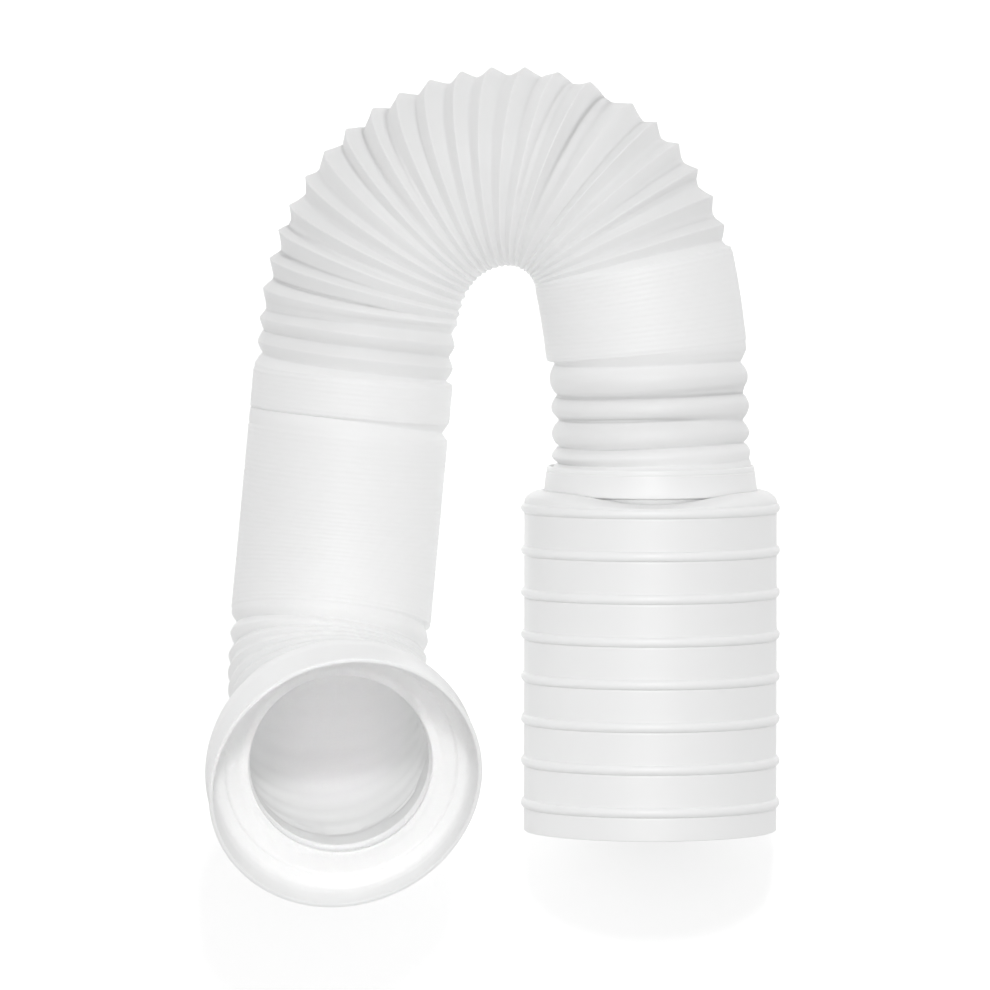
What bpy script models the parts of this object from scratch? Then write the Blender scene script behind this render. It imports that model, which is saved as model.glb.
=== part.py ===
"""A dryer vent hose: a white spiral-fold plastic hose bent into an upside-down U, a ribbed collar
with a cuff on its right end, and a wide flange on its left end, which is turned up.

Run it with blender --background --python part.py, or from Blender's text editor.
Lengths are metres and angles are degrees. +X is right, +Y is towards the bend of the U and
+Z is up from the floor. The route starts at the collar's mouth and ends in the flange.
"""

import math
from typing import NamedTuple

import bmesh
import bpy
from mathutils import Matrix, Quaternion, Vector

MM = 0.001

# The hose's own section.
CREST_RADIUS = 53.5 * MM
WAVE_DEPTH = 5.2 * MM
HOSE_WALL = 1.0 * MM
STACK_FILL = 0.85
STACK_SWELL = 0.9 * MM
CLOSED_BELOW = 4.0 * MM
OPEN_ABOVE = 10.0 * MM

# How far apart the folds are along the hose's middle line.
OPEN_PITCH = 14.2 * MM
CLOSED_PITCH = 2.8 * MM
TIGHT_BEND_PITCH = 9.0 * MM
WIDE_BEND_PITCH = 10.3 * MM
ELBOW_PITCH = 8.5 * MM

# The stretches of the hose, in order from the collar to the flange.
HIDDEN_END = 17.0 * MM
CUFF_SHOWN = 13.3 * MM
RIGHT_STRAIGHT = 19.0 * MM
RIGHT_LEANING = 35.0 * MM
RIGHT_STACK = 54.5 * MM
RIGHT_LEAN_ANGLE = 12.0
TIGHT_BEND_RADIUS = 68.6 * MM
TIGHT_BEND_ANGLE = 78.0
WIDE_BEND_RADIUS = 79.6 * MM
WIDE_BEND_ANGLE = 62.0
LAST_BEND_RADIUS = 104.6 * MM
LAST_BEND_ANGLE = 22.7
LEFT_OPEN = 31.0 * MM
SHORT_STACK = 20.5 * MM
UPPER_GROOVE = 10.0 * MM
LONG_STACK_FLAT = 43.0 * MM
LONG_STACK_RISING = 61.0 * MM
LONG_STACK_RISE_ANGLE = 13.5
LOWER_GROOVE = 15.0 * MM
LOWER_GROOVE_RISE_ANGLE = 5.0
ELBOW_RADIUS = 80.0 * MM
ELBOW_RISE_ANGLE = 55.5
ELBOW_TURN_ANGLE = 28.0
FLANGE_STUB = 19.0 * MM

# The ribbed collar.
SHOULDER_REACH = 10.4 * MM
COLLAR_LENGTH = 184.5 * MM
COLLAR_WALL = 2.2 * MM
RIB_COUNT = 8
RIB_HEIGHT = 1.7 * MM
RIB_WIDTH = 5.0 * MM
RIB_SPACING = 22.8 * MM
FIRST_RIB = 9.6 * MM
SHOULDER_HEIGHT = 6.5 * MM
SHOULDER_DIP = 5.0 * MM
DIP_HALF_ANGLE = 36.0

# The cuff that joins the hose to the collar.
CUFF_TOP_WALL = 1.5 * MM
CUFF_FOOT_WALL = 3.0 * MM
CUFF_ROUND = 1.2 * MM

# The flange.
THROAT_LIP = 6.5 * MM
STEP_REACH = 8.3 * MM
RIM_REACH = 10.0 * MM
RIM_THICKNESS = 2.4 * MM
RIM_FLARE = 0.8 * MM
CUP_DEPTH = 35.0 * MM
STEP_HEIGHT = 9.0 * MM
STEP_ROUND = 1.8 * MM
SLEEVE_LENGTH = 17.0 * MM
FLANGE_WALL = 2.2 * MM
RIM_ROUND = 0.9 * MM
BAND_ROUND = 3.0 * MM
RIM_SLANT_ANGLE = 8.0
RIM_SQUASH = 1.6 * MM
SQUASH_ANGLE = 125.0

# Fits and tessellation.
FIT_GAP = 0.3 * MM
ROUTE_STEP = 1.0 * MM
STACK_STEP = 26.0 * MM
HOSE_SIDES = 24
ROWS_PER_TURN = 2
RING_SIDES = 48
RIB_STEPS = 4
SHOULDER_STEPS = 4


class Stretch(NamedTuple):
    """One stretch of the route: how far it runs, turns sideways and rises, and its folds' pitch."""

    length: float
    turn: float
    rise: float
    pitch: float


class Station(NamedTuple):
    """One place on the hose's middle line."""

    centre: Vector
    along: Vector
    upward: Vector
    sideways: Vector
    bend: Vector
    turns: float
    pitch: float


def arc(radius, degrees):
    return radius * math.radians(degrees)


def smooth(share):
    """A step from 0 to 1 that starts and ends level."""
    share = min(1.0, max(0.0, share))
    return share * share * (3.0 - 2.0 * share)


def stack_radius():
    """The closed-up folds stand a little prouder than the open ones."""
    return CREST_RADIUS + STACK_SWELL


def fitting_bore():
    """The bore of what is pushed over an end of the hose."""
    return stack_radius() + FIT_GAP


def mouth_radius():
    """The cuff's foot fills the collar's mouth."""
    return fitting_bore() + CUFF_FOOT_WALL + FIT_GAP


def collar_radius():
    return mouth_radius() + SHOULDER_REACH


def collar_axis_height():
    """The collar rests on its ribs."""
    return collar_radius() + RIB_HEIGHT


def stretches():
    return [
        Stretch(HIDDEN_END + CUFF_SHOWN, 0.0, 0.0, CLOSED_PITCH),
        Stretch(RIGHT_STRAIGHT, 0.0, 0.0, OPEN_PITCH),
        Stretch(RIGHT_LEANING, 0.4 * RIGHT_LEAN_ANGLE, 0.0, OPEN_PITCH),
        Stretch(RIGHT_STACK, 0.6 * RIGHT_LEAN_ANGLE, 0.0, CLOSED_PITCH),
        Stretch(arc(TIGHT_BEND_RADIUS, TIGHT_BEND_ANGLE), TIGHT_BEND_ANGLE, 0.0, TIGHT_BEND_PITCH),
        Stretch(arc(WIDE_BEND_RADIUS, WIDE_BEND_ANGLE), WIDE_BEND_ANGLE, 0.0, WIDE_BEND_PITCH),
        Stretch(arc(LAST_BEND_RADIUS, LAST_BEND_ANGLE), LAST_BEND_ANGLE, 0.0, WIDE_BEND_PITCH),
        Stretch(LEFT_OPEN, 0.0, 0.0, OPEN_PITCH),
        Stretch(SHORT_STACK, 0.0, 0.0, CLOSED_PITCH),
        Stretch(UPPER_GROOVE, 0.0, 0.0, UPPER_GROOVE),
        Stretch(LONG_STACK_FLAT, 0.0, 0.0, CLOSED_PITCH),
        Stretch(LONG_STACK_RISING, 0.0, LONG_STACK_RISE_ANGLE, CLOSED_PITCH),
        Stretch(LOWER_GROOVE, 0.0, LOWER_GROOVE_RISE_ANGLE, LOWER_GROOVE),
        Stretch(arc(ELBOW_RADIUS, ELBOW_RISE_ANGLE), ELBOW_TURN_ANGLE, ELBOW_RISE_ANGLE, ELBOW_PITCH),
        Stretch(FLANGE_STUB, 0.0, 0.0, CLOSED_PITCH),
    ]


def sag_slope(distance):
    """The slope down through the two bends, from the collar's height to the floor's."""
    start = HIDDEN_END + CUFF_SHOWN + RIGHT_STRAIGHT + RIGHT_LEANING + RIGHT_STACK
    length = arc(TIGHT_BEND_RADIUS, TIGHT_BEND_ANGLE) + arc(WIDE_BEND_RADIUS, WIDE_BEND_ANGLE)
    length += arc(LAST_BEND_RADIUS, LAST_BEND_ANGLE)
    share = (distance - start) / length
    if not 0.0 < share < 1.0:
        return 0.0
    drop = collar_axis_height() - stack_radius()
    return -2.0 * drop / length * math.sin(math.pi * share) ** 2


def direction(turned, risen, slope):
    """Which way the middle line points: turned sideways from +Y, and risen from level."""
    level = math.cos(risen) * math.sqrt(1.0 - slope * slope)
    return Vector((-math.sin(turned) * level, math.cos(turned) * level, math.sin(risen) + slope))


def route():
    """Stations along the middle line, with a frame that doesn't twist about it."""
    centre = Vector((0.0, -HIDDEN_END, collar_axis_height()))
    turned = 0.0
    risen = 0.0
    distance = 0.0
    turns = 0.0
    along = direction(0.0, 0.0, 0.0)
    upward = Vector((0.0, 0.0, 1.0))
    stations = []
    for stretch in stretches():
        steps = max(2, round(stretch.length / ROUTE_STEP))
        step = stretch.length / steps
        row_pitch = STACK_STEP if stretch.pitch < CLOSED_BELOW else stretch.pitch
        for _ in range(steps):
            turned += math.radians(stretch.turn) / steps
            risen += math.radians(stretch.rise) / steps
            ahead = direction(turned, risen, sag_slope(distance)).normalized()
            bend = (ahead - along) / step
            sideways = along.cross(upward)
            stations.append(Station(centre, along, upward, sideways, bend, turns, stretch.pitch))
            upward = along.rotation_difference(ahead) @ upward
            along = ahead
            centre = centre + along * step
            distance += step
            turns += step / row_pitch
    sideways = along.cross(upward)
    stations.append(Station(centre, along, upward, sideways, Vector(), turns, CLOSED_PITCH))
    return stations


def between(stations, turns):
    """The two stations on either side of a count of turns, and the share of the way from one to the other."""
    low = 0
    high = len(stations) - 1
    while high - low > 1:
        middle = (low + high) // 2
        if stations[middle].turns <= turns:
            low = middle
        else:
            high = middle
    share = (turns - stations[low].turns) / (stations[high].turns - stations[low].turns)
    return stations[low], stations[high], share


def fold_point(stations, turns, side, inner):
    """The point of the hose's outer or inner skin at a count of turns and one of its sides."""
    first, second, share = between(stations, turns)
    angle = -math.tau * side / HOSE_SIDES
    outward = math.cos(angle) * first.upward.lerp(second.upward, share)
    outward += math.sin(angle) * first.sideways.lerp(second.sideways, share)
    stretch = 1.0 - CREST_RADIUS * outward.dot(first.bend)
    pitch = (first.pitch + (second.pitch - first.pitch) * share) * stretch
    openness = smooth((pitch - CLOSED_BELOW) / (OPEN_ABOVE - CLOSED_BELOW))
    phase = (turns - side / HOSE_SIDES) % 1.0
    valley = 1.0 - abs(2.0 * phase - 1.0)
    depth = WAVE_DEPTH * openness * valley - STACK_SWELL * (1.0 - openness)
    if inner:
        depth += HOSE_WALL + (WAVE_DEPTH * STACK_FILL + STACK_SWELL) * (1.0 - openness)
    centre = first.centre.lerp(second.centre, share)
    return centre + outward * (CREST_RADIUS - depth)


def spiral_skin(bm, stations, inner):
    """A skin whose rows follow the spiral. Returns the loops of vertices at its two ends."""
    last = round(stations[-1].turns)
    found = {}

    def vertex(row, side):
        turns = row / ROWS_PER_TURN + side / HOSE_SIDES
        key = (side % HOSE_SIDES, round(min(float(last), max(0.0, turns)), 6))
        if key not in found:
            found[key] = bm.verts.new(fold_point(stations, key[1], key[0], inner))
        return found[key]

    for row in range(-ROWS_PER_TURN, last * ROWS_PER_TURN):
        for side in range(HOSE_SIDES):
            corners = []
            for corner in (
                vertex(row, side),
                vertex(row, side + 1),
                vertex(row + 1, side + 1),
                vertex(row + 1, side),
            ):
                if corner not in corners:
                    corners.append(corner)
            if len(corners) > 2:
                bm.faces.new(corners if inner else corners[::-1])
    start = [found[(side, 0.0)] for side in range(HOSE_SIDES)]
    end = [found[(side, float(last))] for side in range(HOSE_SIDES)]
    return start, end


def rounded_turns(stations):
    """The stations with their turns scaled so that the hose ends on a whole turn."""
    scale = round(stations[-1].turns) / stations[-1].turns
    return [station._replace(turns=station.turns * scale) for station in stations]


def bridge(bm, first, second):
    count = len(first)
    for side in range(count):
        after = (side + 1) % count
        bm.faces.new((first[side], first[after], second[after], second[side]))


def finish_mesh(name, bm, material):
    """Makes the object, with its faces pointing out and its round faces smooth."""
    bmesh.ops.recalc_face_normals(bm, faces=bm.faces)
    mesh = bpy.data.meshes.new(name)
    bm.to_mesh(mesh)
    bm.free()
    mesh.polygons.foreach_set("use_smooth", [True] * len(mesh.polygons))
    mesh.set_sharp_from_angle(angle=math.radians(40.0))
    mesh.materials.append(material)
    obj = bpy.data.objects.new(name, mesh)
    bpy.context.collection.objects.link(obj)
    return obj


def make_material(name, colour, roughness):
    material = bpy.data.materials.new(name)
    material.use_nodes = True
    shader = material.node_tree.nodes["Principled BSDF"]
    shader.inputs["Base Color"].default_value = (*colour, 1.0)
    shader.inputs["Roughness"].default_value = roughness
    return material


def make_hose(stations, material):
    bm = bmesh.new()
    outer = spiral_skin(bm, stations, inner=False)
    inner = spiral_skin(bm, stations, inner=True)
    bridge(bm, outer[0], inner[0])
    bridge(bm, inner[1], outer[1])
    return finish_mesh("hose", bm, material)


def turned_ring(name, profile, frame, material, warp=None):
    """A ring turned about the frame's Z axis from a closed profile of (radius, height) points."""
    bm = bmesh.new()
    loops = []
    for radius, height in profile:
        loop = []
        for side in range(RING_SIDES):
            angle = math.tau * side / RING_SIDES
            place = warp(angle, radius, height) if warp else (radius, height)
            local = Vector((place[0] * math.cos(angle), place[0] * math.sin(angle), place[1]))
            loop.append(bm.verts.new(frame @ local))
        loops.append(loop)
    for first, second in zip(loops, loops[1:] + loops[:1]):
        bridge(bm, first, second)
    return finish_mesh(name, bm, material)


def rib(middle):
    """A half-round rib's section, on the collar's outside."""
    points = []
    for step in range(RIB_STEPS + 1):
        angle = math.pi * step / RIB_STEPS
        away = RIB_WIDTH / 2 * math.cos(angle)
        points.append((collar_radius() + RIB_HEIGHT * math.sin(angle), away - middle))
    return points


def shoulder(inset):
    """The rounded shoulder from the collar's mouth out to its side, on its outside or a wall further in."""
    points = []
    for step in range(SHOULDER_STEPS + 1):
        angle = math.pi / 2 * step / SHOULDER_STEPS
        out = (SHOULDER_REACH - inset) * math.sin(angle)
        down = (SHOULDER_HEIGHT - inset) * (1.0 - math.cos(angle))
        points.append((mouth_radius() + out, -down - inset))
    return points


def dip_mouth(angle, radius, height):
    """Lowers the collar's mouth at its top side, less and less down the shoulder."""
    off_top = abs((math.degrees(angle) + 180.0) % 360.0 - 180.0)
    around = smooth(1.0 - off_top / DIP_HALF_ANGLE)
    along = smooth(1.0 + height / (SHOULDER_HEIGHT + COLLAR_WALL))
    return radius, height - SHOULDER_DIP * around * along


def leg_frame():
    """A frame at the collar's mouth: its Z axis runs up the leg, and its X axis points up."""
    turn = Matrix(((0.0, 1.0, 0.0), (0.0, 0.0, 1.0), (1.0, 0.0, 0.0)))
    return Matrix.Translation((0.0, 0.0, collar_axis_height())) @ turn.to_4x4()


def make_collar(material):
    profile = shoulder(0.0)
    for number in range(RIB_COUNT):
        profile += rib(FIRST_RIB + number * RIB_SPACING)
    profile.append((collar_radius(), -COLLAR_LENGTH))
    profile.append((collar_radius() - COLLAR_WALL, -COLLAR_LENGTH))
    profile += reversed(shoulder(COLLAR_WALL))
    return turned_ring("ribbed_collar", profile, leg_frame(), material, dip_mouth)


def make_cuff(material):
    bore = fitting_bore()
    top = bore + CUFF_TOP_WALL
    foot = bore + CUFF_FOOT_WALL
    profile = [
        (bore, CUFF_SHOWN),
        (top - CUFF_ROUND, CUFF_SHOWN),
        (top - 0.3 * CUFF_ROUND, CUFF_SHOWN - 0.3 * CUFF_ROUND),
        (top, CUFF_SHOWN - CUFF_ROUND),
        (foot, 0.0),
        (foot, -HIDDEN_END),
        (bore, -HIDDEN_END),
    ]
    return turned_ring("hose_cuff", profile, leg_frame(), material)


def flange_frame(stations):
    """A frame at the flange's throat: its Z axis points out of its mouth."""
    end = stations[-1]
    turn = Matrix((end.upward, end.sideways, end.along)).transposed()
    if turn.determinant() < 0.0:
        turn = Matrix((end.upward, -end.sideways, end.along)).transposed()
    return Matrix.Translation(end.centre + end.along * (FIT_GAP + FLANGE_WALL)) @ turn.to_4x4()


def press_rim(angle, radius, height):
    """Slants the flange's rim and squashes it out of round, more and more up the cup."""
    share = smooth(height / CUP_DEPTH)
    pressed = radius + share * RIM_SQUASH * math.cos(2.0 * (angle - math.radians(SQUASH_ANGLE)))
    slant = math.tan(math.radians(RIM_SLANT_ANGLE)) * pressed * math.cos(angle)
    return pressed, height + slant * share


def make_flange(stations, material):
    bore = fitting_bore()
    throat = bore - THROAT_LIP
    step = bore + STEP_REACH
    rim = step + RIM_REACH
    band = rim - RIM_FLARE
    profile = [
        (throat, 0.0),
        (throat + STEP_ROUND, 0.4 * STEP_ROUND),
        (step - STEP_ROUND, STEP_HEIGHT - STEP_ROUND),
        (step, STEP_HEIGHT),
        (band - RIM_THICKNESS - 0.6 * BAND_ROUND, STEP_HEIGHT + 0.7 * BAND_ROUND),
        (band - RIM_THICKNESS, STEP_HEIGHT + 2.0 * BAND_ROUND),
        (rim - RIM_THICKNESS, CUP_DEPTH - RIM_ROUND),
        (rim - RIM_THICKNESS + 0.5 * RIM_ROUND, CUP_DEPTH),
        (rim - 0.5 * RIM_ROUND, CUP_DEPTH),
        (rim, CUP_DEPTH - RIM_ROUND),
        (band, STEP_HEIGHT + BAND_ROUND),
        (band - 0.3 * BAND_ROUND, STEP_HEIGHT + 0.3 * BAND_ROUND),
        (band - BAND_ROUND, STEP_HEIGHT),
        (step, STEP_HEIGHT - FLANGE_WALL),
        (bore + FLANGE_WALL + 0.5 * BAND_ROUND, 0.5 * BAND_ROUND - FLANGE_WALL),
        (bore + FLANGE_WALL, -FLANGE_WALL - 0.5 * BAND_ROUND),
        (bore + FLANGE_WALL, -SLEEVE_LENGTH),
        (bore, -SLEEVE_LENGTH),
        (bore, -FLANGE_WALL),
        (throat, -FLANGE_WALL),
    ]
    return turned_ring("flared_flange", profile, flange_frame(stations), material, press_rim)


def centre_on_floor(objects):
    """Moves the whole part so that its box is centred over the origin and stands on the floor."""
    points = [vertex.co for obj in objects for vertex in obj.data.vertices]
    lows = [min(point[axis] for point in points) for axis in range(3)]
    highs = [max(point[axis] for point in points) for axis in range(3)]
    shift = Vector((-(lows[0] + highs[0]) / 2, -(lows[1] + highs[1]) / 2, -lows[2]))
    for obj in objects:
        obj.location = shift


def main():
    for obj in list(bpy.data.objects):
        bpy.data.objects.remove(obj, do_unlink=True)
    stations = rounded_turns(route())
    folds = make_material("white_hose_plastic", (0.86, 0.865, 0.86), 0.42)
    smooth_plastic = make_material("white_fitting_plastic", (0.88, 0.885, 0.88), 0.32)
    objects = [
        make_hose(stations, folds),
        make_cuff(smooth_plastic),
        make_collar(smooth_plastic),
        make_flange(stations, smooth_plastic),
    ]
    centre_on_floor(objects)


main()
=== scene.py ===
# %% [markdown]
# # A white dryer vent hose, bent into an upside-down U
# The object is four moulded pieces of white plastic: a spiral-fold hose, a ribbed collar and a
# cuff on its right end, and a wide flange on its left end, turned up towards the ceiling.
# The solid model gives every real size. This lesson dresses it: each solid is replaced by a
# finer mesh of the same size, with the thin ridges, pleats and rounded edges of the real thing.

import math
from typing import NamedTuple

import bmesh
import bpy
import numpy as np
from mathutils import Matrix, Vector


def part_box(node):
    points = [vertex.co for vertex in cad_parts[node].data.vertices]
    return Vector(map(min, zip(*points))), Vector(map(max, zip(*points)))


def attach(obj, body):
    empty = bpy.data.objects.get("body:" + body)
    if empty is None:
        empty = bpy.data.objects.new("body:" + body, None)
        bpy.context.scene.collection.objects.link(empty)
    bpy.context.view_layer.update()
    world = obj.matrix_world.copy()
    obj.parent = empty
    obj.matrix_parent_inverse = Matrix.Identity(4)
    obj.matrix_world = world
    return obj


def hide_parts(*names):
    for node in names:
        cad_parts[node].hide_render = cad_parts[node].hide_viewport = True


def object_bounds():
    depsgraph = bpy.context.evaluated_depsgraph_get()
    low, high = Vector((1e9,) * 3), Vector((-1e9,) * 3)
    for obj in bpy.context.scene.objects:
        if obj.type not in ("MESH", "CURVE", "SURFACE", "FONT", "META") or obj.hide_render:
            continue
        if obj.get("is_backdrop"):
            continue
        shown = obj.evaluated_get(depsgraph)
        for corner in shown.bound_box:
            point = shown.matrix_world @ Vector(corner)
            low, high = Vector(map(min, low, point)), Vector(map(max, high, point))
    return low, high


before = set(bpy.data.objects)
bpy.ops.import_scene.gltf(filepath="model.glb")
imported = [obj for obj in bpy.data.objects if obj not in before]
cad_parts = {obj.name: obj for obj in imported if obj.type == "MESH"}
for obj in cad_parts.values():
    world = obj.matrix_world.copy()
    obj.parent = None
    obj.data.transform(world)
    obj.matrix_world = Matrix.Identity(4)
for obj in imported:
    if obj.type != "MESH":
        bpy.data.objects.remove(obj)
cad_low, cad_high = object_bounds()
MM = 0.001
print("nodes:", ", ".join(sorted(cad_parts)))

# %% [markdown]
# ## The camera
# The hose lies on the floor and is seen from almost straight above, from a little over four
# metres away. A long lens keeps the collar's sides parallel, while the flange, which stands
# nearest to the camera, still looks a little larger than the rest. The camera leans three
# degrees, so that the round ends of the collar show as shallow curves.

# %% Place the camera
CAMERA_DISTANCE = 4.125
CAMERA_LEAN = math.radians(3.0)
PICTURE_WIDTH = 0.5445
AIM = Vector((-0.67, -11.44, 0.0)) * MM

camera = bpy.data.objects.new("camera", bpy.data.cameras.new("camera"))
bpy.context.collection.objects.link(camera)
camera.data.sensor_width = 36.0
camera.data.lens = camera.data.sensor_width * CAMERA_DISTANCE / PICTURE_WIDTH
camera.data.clip_end = 20.0
camera.location = AIM + Vector((0.0, math.sin(CAMERA_LEAN), math.cos(CAMERA_LEAN))) * CAMERA_DISTANCE
camera.rotation_euler = (-CAMERA_LEAN, 0.0, 0.0)
bpy.context.scene.camera = camera
print(f"camera: {camera.data.lens:.0f} mm lens, {CAMERA_DISTANCE} m away")

# %% [markdown]
# ## The middle line
# A spiral hose keeps the shape it is pushed into, so its shape is a route: a list of stretches,
# each with its length, how far it turns sideways and how far it rises. The numbers are the solid
# model's own. Walking along the list in one millimetre steps gives the middle line, and carrying
# a frame along without twisting it gives every section a top and a side. That is better than a
# drawn curve, whose frame could twist at the bends.

# %% Name the hose's own sizes
CREST_RADIUS = 53.5 * MM
WAVE_DEPTH = 5.2 * MM
HOSE_WALL = 1.0 * MM
STACK_FILL = 0.85
STACK_SWELL = 0.9 * MM
FIT_GAP = 0.3 * MM
STACK_RADIUS = CREST_RADIUS + STACK_SWELL
FITTING_BORE = STACK_RADIUS + FIT_GAP
print(f"hose: {2 * CREST_RADIUS / MM:.1f} mm across, {2 * STACK_RADIUS / MM:.1f} mm where shut")

# %% List the stretches of the route
class Stretch(NamedTuple):
    """How far a stretch runs, and how many degrees it turns sideways and rises on the way."""

    length: float
    turn: float
    rise: float


HIDDEN_END = 17.0 * MM
CUFF_SHOWN = 13.3 * MM
FLANGE_STUB = 19.0 * MM


def arc(radius, degrees):
    return radius * math.radians(degrees)


STRETCHES = {
    "inside the cuff": Stretch(HIDDEN_END + CUFF_SHOWN, 0.0, 0.0),
    "right leg, straight": Stretch(19.0 * MM, 0.0, 0.0),
    "right leg, leaning": Stretch(35.0 * MM, 4.8, 0.0),
    "right stack": Stretch(54.5 * MM, 7.2, 0.0),
    "tight bend": Stretch(arc(68.6 * MM, 78.0), 78.0, 0.0),
    "wide bend": Stretch(arc(79.6 * MM, 62.0), 62.0, 0.0),
    "last bend": Stretch(arc(104.6 * MM, 22.7), 22.7, 0.0),
    "left leg, open": Stretch(31.0 * MM, 0.0, 0.0),
    "short stack": Stretch(20.5 * MM, 0.0, 0.0),
    "upper groove": Stretch(10.0 * MM, 0.0, 0.0),
    "long stack, flat": Stretch(43.0 * MM, 0.0, 0.0),
    "long stack, rising": Stretch(61.0 * MM, 0.0, 13.5),
    "lower groove": Stretch(15.0 * MM, 0.0, 5.0),
    "elbow": Stretch(arc(80.0 * MM, 55.5), 28.0, 55.5),
    "flange stub": Stretch(FLANGE_STUB, 0.0, 0.0),
}
BENDS = ("tight bend", "wide bend", "last bend")
route_length = sum(stretch.length for stretch in STRETCHES.values())
print(f"route: {route_length:.3f} m in {len(STRETCHES)} stretches")

# %% [markdown]
# The collar is thicker than the hose, so the hose leaves it 70 mm above the floor and sags to
# the floor round the bends. The walk below adds that sag, then moves the whole line to where
# the solid model stands: the collar's mouth is the route's starting point.

# %% Walk along the route
CUFF_SKIRT = 3.0 * MM
SHOULDER_REACH = 10.4 * MM
MOUTH_RADIUS = FITTING_BORE + CUFF_SKIRT + FIT_GAP
COLLAR_RADIUS = MOUTH_RADIUS + SHOULDER_REACH
RIB_HEIGHT = 1.7 * MM
COLLAR_AXIS_HEIGHT = COLLAR_RADIUS + RIB_HEIGHT
ROUTE_STEP = 1.0 * MM

collar_low, collar_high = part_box("ribbed_collar")
ROUTE_START = Vector(((collar_low[0] + collar_high[0]) / 2, collar_high[1], 0.0))


def sag_slope(distance):
    """The slope down through the bends, from the collar's height to the floor's."""
    names = list(STRETCHES)
    start = sum(STRETCHES[name].length for name in names[: names.index(BENDS[0])])
    length = sum(STRETCHES[name].length for name in BENDS)
    share = (distance - start) / length
    if not 0.0 < share < 1.0:
        return 0.0
    drop = COLLAR_AXIS_HEIGHT - STACK_RADIUS
    return -2.0 * drop / length * math.sin(math.pi * share) ** 2


def direction(turned, risen, slope):
    """The way the middle line runs, from how far it has turned and risen and how it sags."""
    level = math.cos(risen) * math.sqrt(1.0 - slope * slope)
    heading = Vector((-math.sin(turned) * level, math.cos(turned) * level, math.sin(risen) + slope))
    return heading.normalized()


def walk():
    """Columns along the middle line: distance, centre, upward, sideways and bend."""
    centre = ROUTE_START + Vector((0.0, -HIDDEN_END, COLLAR_AXIS_HEIGHT))
    along, upward = direction(0.0, 0.0, 0.0), Vector((0.0, 0.0, 1.0))
    turned = risen = distance = 0.0
    rows = []
    for stretch in STRETCHES.values():
        steps = max(2, round(stretch.length / ROUTE_STEP))
        step = stretch.length / steps
        for _ in range(steps):
            turned += math.radians(stretch.turn) / steps
            risen += math.radians(stretch.rise) / steps
            ahead = direction(turned, risen, sag_slope(distance))
            bend = (ahead - along) / step
            rows.append([distance, *centre, *upward, *along.cross(upward), *bend])
            upward = along.rotation_difference(ahead) @ upward
            along = ahead
            centre = centre + along * step
            distance += step
    rows.append([distance, *centre, *upward, *along.cross(upward), 0.0, 0.0, 0.0])
    return np.array(rows), along


middle_line, line_end = walk()
DISTANCE = middle_line[:, 0]
CENTRE, UPWARD, SIDEWAYS, BEND = (middle_line[:, first : first + 3] for first in (1, 4, 7, 10))
print(f"middle line: {DISTANCE[-1]:.3f} m")

# %% [markdown]
# ## Where the folds are open
# Pulled or pushed by hand, a spiral hose ends up with some folds snapped open and the rest
# pressed shut. The list below says where, going along the hose from the collar: how far apart
# the folds are, how sharp their crests are, how fully they have sprung open, and how far the
# smooth lining inside fills them.
# A short open stretch between two shut ones is what shows as a groove across the left leg.

# %% List the spans of folds
CLOSED_BELOW = 4.0 * MM
OPEN_ABOVE = 10.0 * MM


class Folds(NamedTuple):
    """Where a span ends, the distance between crests, and its folds' shape outside and inside.

    hooked is 0 for round crests and 1 for sharp ones, fullness scales the depth, and lined is
    how much of the wave is missing on the inner skin.
    """

    ends_at: float
    pitch: float
    hooked: float
    fullness: float
    lined: float = 0.0


FOLDS = {
    "inside the cuff": Folds(30.3 * MM, 2.94 * MM, 0.0, 0.72),
    "right leg, low": Folds(46.0 * MM, 9.8 * MM, 0.0, 0.8),
    "right leg": Folds(91.0 * MM, 15.2 * MM, 0.0, 0.8),
    "right stack": Folds(138.8 * MM, 2.776 * MM, 0.0, 1.0),
    "bend, right side": Folds(192.0 * MM, 9.4 * MM, 1.0, 1.0),
    "widest fold": Folds(206.1 * MM, 14.1 * MM, 1.0, 1.0),
    "bend, left side": Folds(351.5 * MM, 10.39 * MM, 1.0, 1.0),
    "left leg": Folds(390.7 * MM, 12.5 * MM, 0.6, 0.85),
    "short stack": Folds(414.0 * MM, 2.702 * MM, 0.0, 1.0),
    "upper groove": Folds(421.0 * MM, 14.0 * MM, 0.0, 1.0),
    "long stack": Folds(525.0 * MM, 2.832 * MM, 0.0, 1.0),
    "lower groove": Folds(543.0 * MM, 12.0 * MM, 0.3, 0.8, 0.75),
    "elbow": Folds(617.7 * MM, 8.5 * MM, 1.0, 0.7, 0.95),
    "flange stub": Folds(float(DISTANCE[-1]), 2.8 * MM, 0.0, 1.0, 0.95),
}
SPAN_ENDS = np.array([0.0] + [span.ends_at for span in FOLDS.values()])
SPAN_SIZES = np.diff(SPAN_ENDS)
SPAN_TURNS = np.cumsum([0.0] + [size / span.pitch for size, span in zip(SPAN_SIZES, FOLDS.values())])
ALL_TURNS = SPAN_TURNS[-1]
print(f"folds: {ALL_TURNS:.1f} turns of the spiral in {len(FOLDS)} spans")

# %% [markdown]
# ## How a fold is shaped
# The hose is one long spiral pleat that snaps between two states. Where it is pulled open, each
# turn is a wave about 14 mm long and 5 mm deep. Where it is pushed shut, the turns nest behind
# each other and only their edges show, one every 2.8 mm, standing slightly prouder. Round a
# bend, the outer side is open and the inner side is shut, so the same pleat goes from one to
# the other within half a turn. One rule covers all of this: measure how far apart two crests
# are at this point of the skin, and open the wave by that much.

# %% Read the middle line at any turn
def smooth(share):
    """A step from 0 to 1 that starts and ends level."""
    share = np.clip(share, 0.0, 1.0)
    return share * share * (3.0 - 2.0 * share)


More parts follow.
